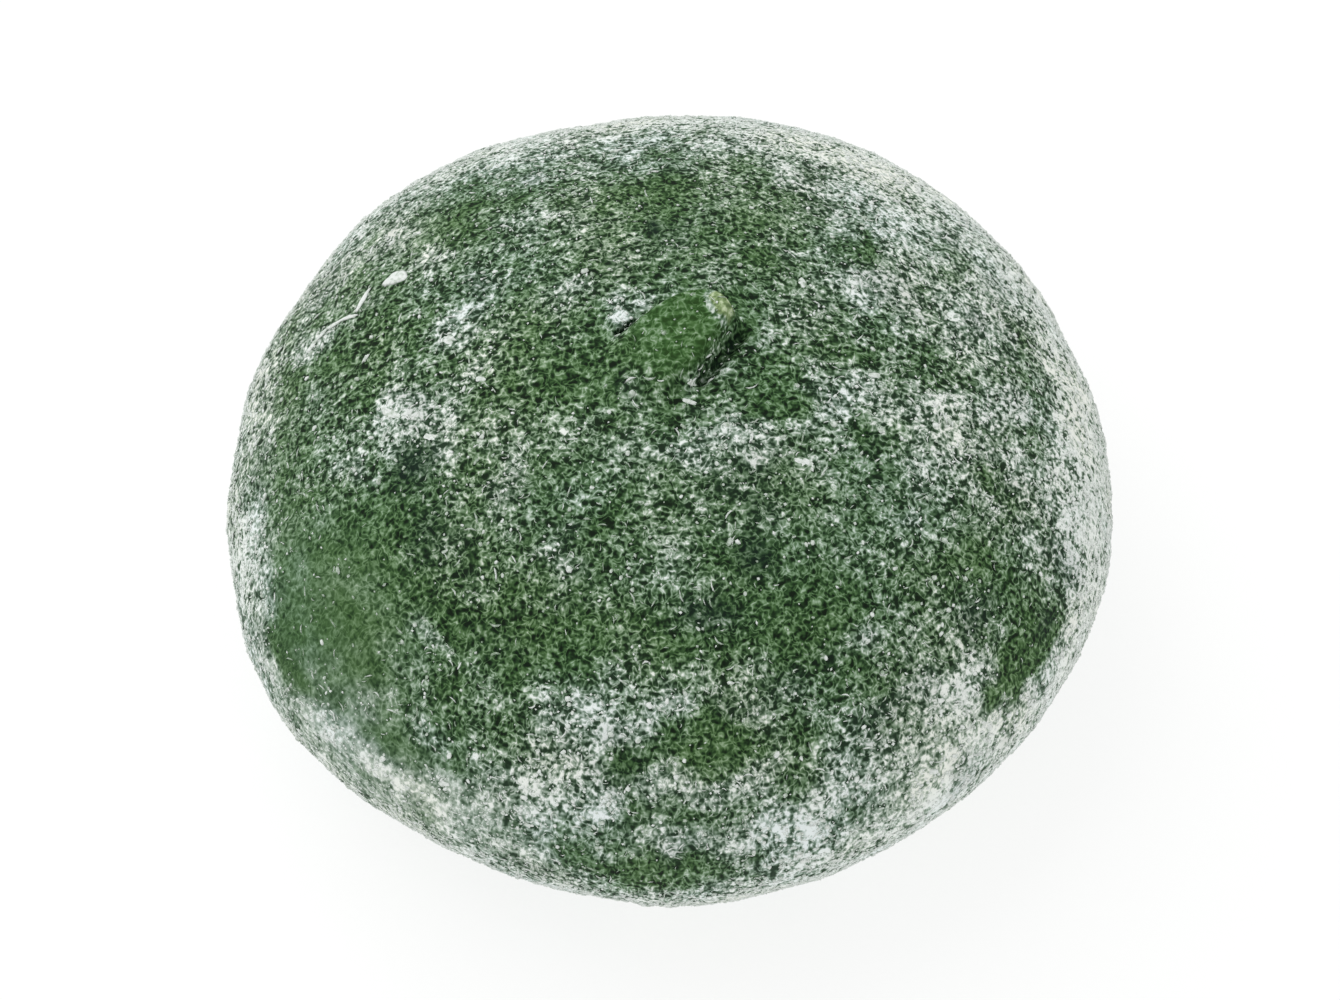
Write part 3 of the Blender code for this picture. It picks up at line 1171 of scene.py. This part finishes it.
@dataclass
class DoughSkin:
    """The dough's surface: a closed grid of rings round the axis, poles at both ends."""

    form: DoughForm
    coat: StarchCoat
    segments: int = 460
    crown_pitch: float = 0.125 * MM
    side_pitch: float = 0.42 * MM
    foot_pitch: float = 0.95 * MM
    crown_reach: float = 7.5 * MM
    rice_relief: float = 0.05 * MM
    rice_cell: float = 1.6 * MM
    starch_relief: float = 0.10 * MM
    starch_cell: float = 0.9 * MM
    # Height, cell and seed of the swells that a hand leaves.
    swells: tuple = ((0.12 * MM, 9.0 * MM, 91), (0.07 * MM, 3.6 * MM, 93))
    heel_fade: float = 3.0 * MM
    # How much starch the bead's rim and the nub's foot and edge hold.
    rind_cover: float = 0.62
    foot_cover: float = 0.28
    edge_cover: float = 0.40
    # Painted shade: how much the crack and the hollow beside the nub are darkened, through the leaf mark.
    crack_painted_shade: float = 1.9
    hollow_painted_shade: float = 1.0
    nub_press: float = 0.12
    belly_press: float = 0.5
    belly_span: tuple = (42.0 * MM, 49.0 * MM)
    streak_middle: float = -1.0 * MM
    streak_half_width: float = 11.0 * MM
    streak_span: tuple = (22.0 * MM, 32.0 * MM)

    def ring_arcs(self) -> np.ndarray:
        """Arc lengths of the rings, close on the crown and wide under the foot.

        Rings are counted by the integral of one over the pitch, and set at
        whole counts.

        Returns:
            One arc length for each ring, poles included.
        """
        arc = np.linspace(0.0, self.form.arc[-1], 4000)
        heel = self.form.arc[-1] - self.form.belly * self.form.heel_share
        wide = ease(self.crown_reach, 1.6 * self.crown_reach, arc)
        under = ease(heel + 1.0 * MM, heel + 4.0 * MM, arc)
        pitch = self.crown_pitch + (self.side_pitch - self.crown_pitch) * wide
        pitch = pitch + (self.foot_pitch - self.side_pitch) * under
        count = np.concatenate(([0.0], np.cumsum(np.diff(arc) * 2.0 / (pitch[1:] + pitch[:-1]))))
        rings = int(round(count[-1]))
        return np.interp(np.linspace(0.0, count[-1], rings + 1), count, arc)

    def build(self) -> bpy.types.Object:
        """Make the skin's mesh and its attributes.

        Its points are the round's, lifted by noise the size of rice grains, by
        the starch where it lies, and by the swells. The lift ends at the heel,
        so that the cake rests on a flat face.

        Returns:
            The new piece.
        """
        arcs = self.ring_arcs()
        turns = np.arange(self.segments) * (2.0 * math.pi / self.segments)
        arc, azimuth = np.meshgrid(arcs, turns, indexing="ij")
        smooth = self.form.smooth_place(azimuth, arc)
        cover = self.coat.cover(smooth, azimuth, arc)
        lift = self.rice_relief * layered_noise(smooth, self.rice_cell, 2, 71)
        lift = lift + self.starch_relief * cover * (0.6 + 0.6 * lattice_noise(smooth, self.starch_cell, 81))
        for height, cell, seed in self.swells:
            lift = lift + height * layered_noise(smooth, cell, 2, seed)
        heel = self.form.arc[-1] - self.form.belly * self.form.heel_share
        lift = lift * (1.0 - ease(heel - self.heel_fade, heel, arc))
        # One point stands at each pole, so the relief there is that of its ring's first point.
        lift[0], lift[-1] = lift[0, 0], lift[-1, 0]
        places = self.form.place(azimuth, arc, lift)
        places[..., 2] = np.maximum(places[..., 2], 0.0)

        self.places, self.cover = places, cover
        rings, segments = places.shape[0] - 2, self.segments
        points = np.concatenate((places[:1, 0], places[1:-1].reshape(-1, 3), places[-1:, 0]))
        number = 1 + np.arange(rings * segments).reshape(rings, segments)
        beside = np.roll(number, -1, axis=1)
        quads = np.stack((number[:-1], number[1:], beside[1:], beside[:-1]), axis=-1).reshape(-1, 4)
        top = np.stack((np.zeros(segments, int), number[0], beside[0]), axis=-1)
        last = np.full(segments, len(points) - 1)
        bottom = np.stack((number[-1], last, beside[-1]), axis=-1)
        piece = make_piece("dough_skin", points, top.tolist() + quads.tolist() + bottom.tolist())

        values = self.marks(smooth, arc, cover)
        for name, grid in values.items():
            flat = np.concatenate((grid[:1, 0], grid[1:-1].ravel(), grid[-1:, 0]))
            write_attribute(piece, name, flat)
        return piece

    def marks(self, smooth: np.ndarray, arc: np.ndarray, cover: np.ndarray) -> dict:
        """What the dough's material reads at each point.

        Args:
            smooth: The points of the round, without nub or relief.
            arc: Their lengths along the section from the crown's middle.
            cover: How thick the starch lies there.

        Returns:
            By name: starch is the cover with the nub's crack, hollow and dried
            rim worked in, leaf is how dark the dough is, from mugwort leaf and
            from painted shade in the crack and the hollow, tip is the inside of the
            dried bead, pressed is where the coat is smooth, arc is the length
            along the section, nub is the nub's top, and across is where the
            rolling left streaks from side to side.
        """
        nub, x, y = self.form.nub, smooth[..., 0], smooth[..., 1]
        crown = on_crown(smooth)
        gap = nub.bead_gap(x, y) + 0.12 * lattice_noise(smooth, 0.5 * MM, 61)
        inside = (1.0 - ease(0.66, 0.86, gap)) * crown
        near_side = ease(-0.5, 0.6, (nub.bead[0] - x + nub.bead[1] - y) / nub.bead_radius)
        rind = ease(0.66, 0.84, gap) * (1.0 - ease(1.0, 1.2, gap)) * (0.45 + 0.55 * near_side)
        rind = rind * ease(0.4, 0.9, nub.top(x, y)) * crown
        crease = nub.groove(x, y, nub.crack, 1.3 * nub.crack_half_width) * crown
        broken = ease(-0.3, 0.6, lattice_noise(smooth, 0.7 * MM, 62)) * crown
        hollow = nub.groove(x, y, nub.hollow, 0.7 * nub.hollow_half_width)
        hollow = hollow * (0.3 + 0.7 * broken) * crown
        fringe = self.foot_cover * nub.groove(x, y, nub.fringe, 0.5 * MM) * broken
        fringe = fringe + self.edge_cover * nub.groove(x, y, nub.edge, 0.16 * MM) * broken
        bare = (1.0 - inside) * (1.0 - crease) * (1.0 - 0.8 * hollow)
        # Leaf blotches are the dough's own colour; the crack and the hollow beside the nub get painted
        # shade on top, in the same dark green.
        leaf = self.coat.leaf(smooth) + self.crack_painted_shade * crease + self.hollow_painted_shade * hollow
        pressed = self.coat.sum_of(self.coat.pressed, smooth) + self.nub_press * nub.top(x, y) * crown
        # Under the belly the cake rolled on starch, which lies smooth and close there.
        pressed = pressed + self.belly_press * ease(*self.belly_span, arc)
        across = bell(y - self.streak_middle, self.streak_half_width) * (1.0 - ease(*self.streak_span, arc))
        return {
            "starch": np.clip(cover * bare + self.rind_cover * rind + fringe, 0.0, 1.0),
            "leaf": np.clip(leaf, 0.0, 1.8),
            "tip": inside,
            "pressed": np.clip(pressed, 0.0, 1.0),
            "arc": arc,
            "nub": ease(0.3, 0.8, nub.top(x, y)) * crown * (1.0 - 0.8 * hollow),
            "across": across * (1.0 - inside),
        }

    def sample(self, count: int, power: float, seed: int) -> tuple:
        """Draw places on the skin, more of them where the starch lies thick.

        Args:
            count: How many places.
            power: The chance goes with the cover to this power.
            seed: Seeds the draw.

        Returns:
            The places, their three directions (round, down, out), the cover
            there, and the random source for further draws.
        """
        random = np.random.default_rng(seed)
        corner = self.places
        right = np.roll(corner, -1, axis=1)
        down = corner[1:] - corner[:-1]
        ahead = (right - corner)[:-1]
        normal = np.cross(down, ahead)
        area = np.linalg.norm(normal, axis=-1)
        cover = (self.cover[1:] + self.cover[:-1]) / 2.0
        chance = area * np.maximum(cover, 0.02) ** power
        chance[corner[:-1, :, 2] < 0.6 * MM] = 0.0
        chosen = random.choice(chance.size, count, p=(chance / chance.sum()).ravel())
        row, column = np.unravel_index(chosen, chance.shape)
        share = random.random((count, 2, 1))
        places = corner[row, column] + share[:, 0] * down[row, column] + share[:, 1] * ahead[row, column]
        out = unit(normal[row, column])
        round_way = unit(ahead[row, column])
        frames = np.stack((round_way, np.cross(out, round_way), out), axis=1)
        return places, frames, cover[row, column], random


class GrainShape(Enum):
    """The form that a kind of grain is cut down from."""

    OCTAHEDRON = "octahedron"
    ICOSAHEDRON = "icosahedron"
    CURL = "curl"

    def template(self) -> tuple:
        """The form at unit size.

        Returns:
            Corners about one unit from the middle, and triangles facing outwards.
        """
        if self is GrainShape.CURL:
            return self.rod()
        if self is GrainShape.OCTAHEDRON:
            corners = np.concatenate((np.eye(3), -np.eye(3)))
        else:
            # The turns of (0, 1, golden ratio) with all signs.
            golden = (1.0 + math.sqrt(5.0)) / 2.0
            signs = itertools.product((-1.0, 1.0), repeat=2)
            base = [(0.0, one, two * golden) for one, two in signs]
            corners = unit(np.array([np.roll(corner, turn) for corner in base for turn in range(3)]))
        # Faces join three corners that are all nearest neighbours.
        gaps = np.linalg.norm(corners[:, None] - corners[None], axis=-1)
        nearest = gaps[gaps > 0.01].min() * 1.01
        faces = []
        for face in itertools.combinations(range(len(corners)), 3):
            if max(gaps[a, b] for a, b in itertools.combinations(face, 2)) < nearest:
                a, b, c = corners[list(face)]
                faces.append(face if np.cross(b - a, c - a) @ a > 0.0 else face[::-1])
        return corners, np.array(faces)

    @staticmethod
    def rod() -> tuple:
        """A three-sided rod with pointed ends: three rings of three corners between two tips.

        Returns:
            Its corners, from -1 to 1 along x, and triangles facing outwards.
        """
        turn = np.arange(3) * (2.0 * math.pi / 3.0)
        ring = np.stack((np.zeros(3), np.sin(turn), np.cos(turn)), axis=-1)
        sections = ((-0.55, 0.8), (0.0, 1.0), (0.55, 0.8))
        rings = [ring * girth + (place, 0.0, 0.0) for place, girth in sections]
        corners = np.concatenate(([(-1.0, 0.0, 0.0)], *rings, [(1.0, 0.0, 0.0)]))
        number = 1 + np.arange(9).reshape(3, 3)
        beside = np.roll(number, -1, axis=1)
        faces = [(0, a, b) for a, b in zip(number[0], beside[0])]
        for low, high, low_beside, high_beside in zip(number[:-1], number[1:], beside[:-1], beside[1:]):
            faces += zip(low, high, low_beside)
            faces += zip(high, high_beside, low_beside)
        faces += [(10, b, a) for a, b in zip(number[2], beside[2])]
        return corners, np.array(faces)


@dataclass(frozen=True)
class GrainKind:
    """One kind of loose starch: its shape, how many, how large, and how it lies.

    length, width and height are shares of a grain's size; bend is how far the
    middle of a long one bows aside; power is how strongly its kind keeps to
    where the starch lies thick.
    """

    name: str
    shape: GrainShape
    count: int
    smallest: float
    largest: float
    length: float
    width: float
    height: float
    bend: float
    power: float
    seed: int


@dataclass
class LooseStarch:
    """Loose starch on the skin: every grain a small uneven lump, joined in one mesh.

    stretch and dent are the spans by which a grain's sides and corners differ,
    and lift is how far it stands out of the skin, as a share of its height.
    """

    skin: DoughSkin
    kind: GrainKind
    small_bias: float = 1.7
    stretch: float = 0.5
    dent: float = 0.45
    lift: float = 0.12

    def build(self) -> bpy.types.Object:
        """Scatter the grains: each is cut to size, dented, bowed, turned and set into the skin.

        Sizes run from the smallest to the largest in equal ratios, with more of
        the small. A bowed grain's middle is moved aside by one minus the squared
        share of the way to its ends.

        Returns:
            The new piece.
        """
        kind = self.kind
        places, frames, cover, random = self.skin.sample(kind.count, kind.power, kind.seed)
        corners, faces = kind.shape.template()
        share = random.random(kind.count) ** self.small_bias
        size = kind.smallest * (kind.largest / kind.smallest) ** share
        stretch = 1.0 - self.stretch / 2.0 + self.stretch * random.random((kind.count, 1, 3))
        stretch = stretch * (kind.length, kind.width, kind.height)
        dents = 1.0 + self.dent * (random.random((kind.count, len(corners), 1)) - 0.5)
        local = corners[None] * dents * stretch * (size / 2.0)[:, None, None]
        bow = kind.bend * (2.0 * random.random((kind.count, 1)) - 1.0) * size[:, None]
        local[..., 1] += bow * (1.0 - corners[None, :, 0] ** 2)
        turn = random.random(kind.count) * 2.0 * math.pi
        cosine, sine = np.cos(turn)[:, None], np.sin(turn)[:, None]
        ahead = frames[:, 0] * cosine + frames[:, 1] * sine
        aside = frames[:, 1] * cosine - frames[:, 0] * sine
        turned = np.stack((ahead, aside, frames[:, 2]), axis=1)
        local[..., 2] += (size * self.lift * kind.height)[:, None]
        points = places[:, None] + np.einsum("nkc,ncd->nkd", local, turned)
        points[..., 2] = np.maximum(points[..., 2], 0.05 * MM)
        first = np.arange(kind.count)[:, None, None] * len(corners)
        piece = make_piece(kind.name, points.reshape(-1, 3), (faces[None] + first).reshape(-1, 3).tolist())
        fresh = 0.9 * random.random(kind.count) ** 3 + 0.3 * random.random(kind.count)
        damp = np.clip(1.08 - 0.9 * cover - fresh, 0.0, 1.0)
        write_attribute(piece, "damp", np.repeat(damp, len(corners)))
        return piece


@dataclass(frozen=True)
class Flake:
    """A caked flake of starch: where it lies, its length and width, turn and thickness.

    azimuth and turn are in degrees and the lengths in millimetres, as for a Patch.
    """

    azimuth: float
    arc: float
    length: float
    width: float
    turn: float
    thickness: float
    ragged: float = 0.3


@dataclass
class StarchFlakes:
    """Caked flakes and smears of starch, each a low dome with a ragged outline."""

    form: DoughForm
    skin: DoughSkin
    named: tuple = (
        Flake(156.0, 22.3, 2.4, 1.35, -101.0, 0.34, 0.22),
        Flake(144.0, 4.9, 1.3, 1.1, -71.0, 0.35, 0.25),
        Flake(118.0, 4.2, 0.9, 0.8, 0.0, 0.25, 0.35),
        Flake(-170.0, 19.8, 2.3, 0.55, -48.0, 0.26, 0.3),
        Flake(-166.0, 19.0, 1.4, 0.8, -31.0, 0.20, 0.4),
        Flake(-163.0, 18.2, 1.2, 0.8, 20.0, 0.16, 0.5),
        Flake(-160.0, 17.4, 1.1, 0.6, -31.0, 0.16, 0.5),
        Flake(174.0, 15.5, 1.8, 0.6, -70.0, 0.16, 0.5),
        Flake(-170.0, 13.0, 1.0, 0.4, -60.0, 0.16, 0.4),
        Flake(161.0, 24.2, 1.9, 0.45, 3.0, 0.16, 0.5),
        Flake(164.6, 24.8, 1.8, 0.36, 82.0, 0.22, 0.2),
        Flake(165.6, 26.2, 1.5, 0.36, 70.0, 0.22, 0.2),
        Flake(167.0, 27.2, 1.7, 0.45, 45.0, 0.20, 0.3),
        Flake(169.0, 28.1, 1.5, 0.60, 38.0, 0.16, 0.5),
        Flake(-74.0, 5.3, 1.3, 0.40, 37.0, 0.20, 0.3),
        Flake(-58.0, 7.1, 1.3, 0.36, 54.0, 0.18, 0.4),
        Flake(-49.0, 8.0, 1.9, 0.45, 47.0, 0.16, 0.5),
        Flake(-38.0, 10.8, 1.8, 0.4, 55.0, 0.14, 0.6),
        Flake(-44.0, 13.0, 1.2, 0.7, 58.0, 0.18, 0.7),
        Flake(-67.0, 4.1, 1.0, 0.5, 0.0, 0.20, 0.5),
    )
    # Flakes strewn by chance: how many, and the least and the span of each size
    # in millimetres. Their width is a share of the length.
    extra: int = 120
    extra_length: tuple = (0.4, 0.7)
    extra_width: tuple = (0.4, 0.4)
    extra_thickness: tuple = (0.12, 0.10)
    extra_ragged: float = 0.45
    round_steps: int = 22
    # Share of the outline and share of the thickness of a flake's rings.
    ring_levels: tuple = ((0.0, 1.0), (0.45, 0.92), (0.78, 0.66), (1.0, 0.0), (0.0, -0.6))

    def rows(self) -> tuple:
        """The named flakes as arrays.

        Returns:
            Their places, the directions of their lengths, those out of the
            surface, and their lengths, widths, thicknesses and raggedness.
        """
        azimuth = np.radians([flake.azimuth for flake in self.named])
        arc = np.array([flake.arc for flake in self.named]) * MM
        ahead, down, out = self.form.directions(azimuth, arc)
        turn = np.radians([flake.turn for flake in self.named])[:, None]
        long_way = ahead * np.cos(turn) + down * np.sin(turn)
        places = self.form.smooth_place(azimuth, arc)
        sizes = np.array([(f.length, f.width, f.thickness, f.ragged) for f in self.named])
        return places, long_way, out, sizes

    def build(self) -> bpy.types.Object:
        """Lay every flake on the skin and join them in one mesh.

        A flake is a polar grid: its outline is an oval with noise, and its
        height falls in three steps from the middle to the edge, with a point
        below that closes it. Each point is carried to the round's surface.

        Returns:
            The new piece.
        """
        places, long_way, out, sizes = self.rows()
        more, frames, _, random = self.skin.sample(self.extra, 2.0, 707)
        angle = random.random((self.extra, 1)) * math.pi
        places = np.concatenate((places, more))
        long_way = np.concatenate((long_way, frames[:, 0] * np.cos(angle) + frames[:, 1] * np.sin(angle)))
        out = np.concatenate((out, frames[:, 2]))
        least, span = self.extra_length
        length = least + span * random.random((self.extra, 1)) ** 2
        least, span = self.extra_width
        width = length * (least + span * random.random((self.extra, 1)))
        least, span = self.extra_thickness
        thickness = least + span * random.random((self.extra, 1))
        ragged = np.full_like(length, self.extra_ragged)
        sizes = np.concatenate((sizes, np.hstack((length, width, thickness, ragged))))

        count, steps = len(places), self.round_steps
        short_way = np.cross(out, long_way)
        turn = np.arange(steps) * 2.0 * math.pi / steps
        circle = np.stack((np.cos(turn), np.sin(turn), np.zeros(steps)), axis=-1)
        numbers = np.arange(count)[:, None, None] * 17.0
        edge = 1.0 + sizes[:, 3:] * layered_noise(circle[None] + numbers, 1.0, 2, 5)
        rings = []
        bumps = 1.0 + 0.35 * layered_noise(3.0 * circle[None] + numbers, 1.1, 2, 15)
        for share, level in self.ring_levels:
            reach = share * edge
            level = level * np.where(share > 0.0, bumps, 1.0)
            along = reach * np.cos(turn) * sizes[:, :1] * MM / 2.0
            across = reach * np.sin(turn) * sizes[:, 1:2] * MM / 2.0
            ground = places[:, None] + along[..., None] * long_way[:, None]
            ground = self.settle(ground + across[..., None] * short_way[:, None], out)
            rings.append(ground + (level * sizes[:, 2:3] * MM * 0.5)[..., None] * out[:, None])
        points = np.concatenate((rings[0][:, :1], rings[1], rings[2], rings[3], rings[4][:, :1]), axis=1)
        ring = 1 + np.arange(3 * steps).reshape(3, steps)
        beside = np.roll(ring, -1, axis=1)
        quads = np.stack((ring[:-1], ring[1:], beside[1:], beside[:-1]), axis=-1).reshape(-1, 4)
        top = np.stack((np.zeros(steps, int), ring[0], beside[0]), axis=-1)
        base = np.stack((ring[2], np.full(steps, 3 * steps + 1), beside[2]), axis=-1)
        first = np.arange(count)[:, None, None] * (3 * steps + 2)
        faces = (quads[None] + first).reshape(-1, 4).tolist()
        faces += (top[None] + first).reshape(-1, 3).tolist()
        faces += (base[None] + first).reshape(-1, 3).tolist()
        piece = make_piece("starch_flakes", points.reshape(-1, 3), faces)
        damp = np.repeat(np.clip(random.normal(0.12, 0.1, count), 0.0, 0.5), 3 * steps + 2)
        write_attribute(piece, "damp", damp)
        return piece

    def settle(self, points: np.ndarray, out: np.ndarray) -> np.ndarray:
        """Move points along their flake's outward direction onto the round's surface.

        Each of two passes finds the place on the section beside a point, by its
        radius on the dome and by its height on the flank.

        Args:
            points: One row of points for each flake.
            out: The outward direction of each flake.

        Returns:
            The moved points.
        """
        settled = points
        for _ in range(2):
            x, y = settled[..., 0] - self.form.offset[0], settled[..., 1] - self.form.offset[1]
            azimuth = np.arctan2(y, x)
            radius = np.hypot(x, y) / self.form.outline_scale(azimuth)
            upper = settled[..., 2] > self.form.belly * self.form.belly_height_share
            split = int(np.argmax(self.form.radius))
            dome = np.interp(radius, self.form.radius[:split], self.form.arc[:split])
            heights = self.form.height[split:][::-1]
            side = np.interp(settled[..., 2], heights, self.form.arc[split:][::-1])
            arc = np.where(upper, dome, side)
            ground = self.form.nub.raise_points(self.form.smooth_place(azimuth, arc))
            gap = np.einsum("nkd,nd->nk", ground - settled, out)
            settled = settled + gap[..., None] * out[:, None]
        return settled


# The studio


@dataclass(frozen=True)
class Studio:
    """A white table, a bright even room, one large soft light, and the camera."""

    elevation: float = 60.0
    distance: float = 234.4 * MM
    lens: float = 85.0
    sensor: float = 36.0
    nearest: float = 0.01
    aim: tuple = (0.0, 0.0, 12.9 * MM)
    floor_size: float = 4.0
    room_light: float = 0.82
    key_power: float = 0.95
    key_size: float = 0.45
    key_place: tuple = (-0.22, 0.20, 0.46)

    def build(self) -> None:
        """Lay the floor, hang the lights and set up the camera."""
        half = self.floor_size / 2.0
        corners = half * np.array(((-1, -1, 0), (1, -1, 0), (1, 1, 0), (-1, 1, 0)))
        floor = make_piece("white_table", corners, [[0, 1, 2, 3]])
        floor.data.materials.append(LightTable().make())

        world = bpy.data.worlds.new("even_room")
        bpy.context.scene.world = world
        world.use_nodes = True
        background = world.node_tree.nodes["Background"]
        background.inputs["Color"].default_value = (1.0, 1.0, 1.0, 1.0)
        background.inputs["Strength"].default_value = self.room_light

        light = bpy.data.lights.new("large_softbox", "AREA")
        light.energy = self.key_power
        light.size = self.key_size
        softbox = bpy.data.objects.new("large_softbox", light)
        softbox.location = self.key_place
        softbox.rotation_mode = "QUATERNION"
        softbox.rotation_quaternion = softbox.location.to_track_quat("Z", "Y")
        bpy.context.scene.collection.objects.link(softbox)

        tilt = math.radians(self.elevation)
        back = Vector((0.0, -math.cos(tilt), math.sin(tilt)))
        lens = bpy.data.cameras.new("product_camera")
        lens.lens = self.lens
        lens.sensor_width = self.sensor
        lens.clip_start = self.nearest
        camera = bpy.data.objects.new("product_camera", lens)
        camera.location = Vector(self.aim) + back * self.distance
        camera.rotation_mode = "QUATERNION"
        camera.rotation_quaternion = back.to_track_quat("Z", "Y")
        bpy.context.scene.collection.objects.link(camera)
        bpy.context.scene.camera = camera
        bpy.context.scene.view_settings.view_transform = "Standard"


GRAIN_KINDS = (
    GrainKind(
        "starch_dust", GrainShape.OCTAHEDRON, count=24500, smallest=0.13 * MM, largest=0.27 * MM,
        length=1.2, width=0.9, height=0.7, bend=0.0, power=0.8, seed=101,
    ),
    GrainKind(
        "starch_curls", GrainShape.CURL, count=11000, smallest=0.35 * MM, largest=0.90 * MM,
        length=1.0, width=0.22, height=0.20, bend=0.26, power=0.8, seed=151,
    ),
    GrainKind(
        "starch_grains", GrainShape.ICOSAHEDRON, count=9900, smallest=0.20 * MM, largest=0.40 * MM,
        length=1.3, width=0.9, height=0.6, bend=0.0, power=1.3, seed=202,
    ),
    GrainKind(
        "starch_crumbs", GrainShape.ICOSAHEDRON, count=600, smallest=0.35 * MM, largest=0.62 * MM,
        length=1.3, width=0.8, height=0.5, bend=0.0, power=2.2, seed=303,
    ),
)


def finish_piece(piece: bpy.types.Object, material: bpy.types.Material) -> None:
    """Dress a piece, ride it on the cake's body and report it.

    Args:
        piece: The finished mesh object.
        material: What it is made of.
    """
    piece.data.materials.append(material)
    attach(piece, BODY)
    piece.data.calc_loop_triangles()
    log.info("%s: %d triangles", piece.name, len(piece.data.loop_triangles))


def main() -> None:
    """Build the dough, the starch on it and the studio."""
    logging.basicConfig(level=logging.INFO, format="%(name)s %(message)s")
    low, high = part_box("mochi")
    form = DoughForm(width=high.x - low.x, middle=((low.x + high.x) / 2.0, (low.y + high.y) / 2.0))
    coat = StarchCoat(form)
    skin = DoughSkin(form, coat)
    dough = skin.build()
    finish_piece(dough, MugwortDough().make())
    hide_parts("mochi")
    starch = PotatoStarch().make()
    for kind in GRAIN_KINDS:
        finish_piece(LooseStarch(skin, kind).build(), starch)
    finish_piece(StarchFlakes(form, skin).build(), starch)
    Studio().build()


if __name__ == "__main__":
    main()
